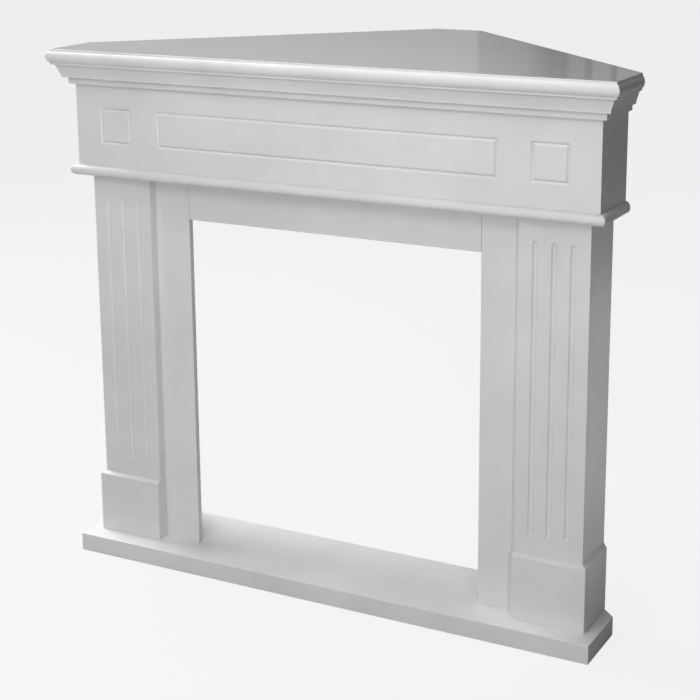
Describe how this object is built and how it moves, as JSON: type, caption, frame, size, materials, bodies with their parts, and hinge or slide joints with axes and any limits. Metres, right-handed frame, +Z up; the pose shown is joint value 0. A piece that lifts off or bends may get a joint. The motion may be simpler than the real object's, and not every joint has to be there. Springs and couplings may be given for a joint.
{
  "type": "fireplace mantelpiece",
  "caption": "Corner fireplace mantelpiece of white painted boards, with a beaded triangular shelf, panelled frieze, fluted pilasters, plinths and a hearth.",
  "frame": {"origin": "on the floor, under the middle of the surround's bounding box", "axes": "+Z up, +X to the right seen from the room, +Y from the front back into the corner"},
  "size_m": [1.121, 0.636, 1],
  "materials": {
    "board_paint": "fibreboard sprayed with white satin paint",
    "shelf_paint": "fibreboard sprayed with white paint, rubbed to a soft gloss on top",
    "hearth_paint": "fibreboard sprayed with white satin paint"
  },
  "bodies": {
    "root": {"shelf": "shelf_paint", "cornice_front": "board_paint", "cornice_left": "board_paint", "cornice_right": "board_paint", "frieze_front": "board_paint", "frieze_left": "board_paint", "frieze_right": "board_paint", "waist_board": "board_paint", "header": "board_paint", "upright_left": "board_paint", "upright_right": "board_paint", "pilaster_left": "board_paint", "pilaster_right": "board_paint", "side_panel_left": "board_paint", "side_panel_right": "board_paint", "plinth_front_left": "board_paint", "plinth_front_right": "board_paint", "plinth_side_left": "board_paint", "plinth_side_right": "board_paint", "hearth": "hearth_paint"}
  },
  "joints": []
}
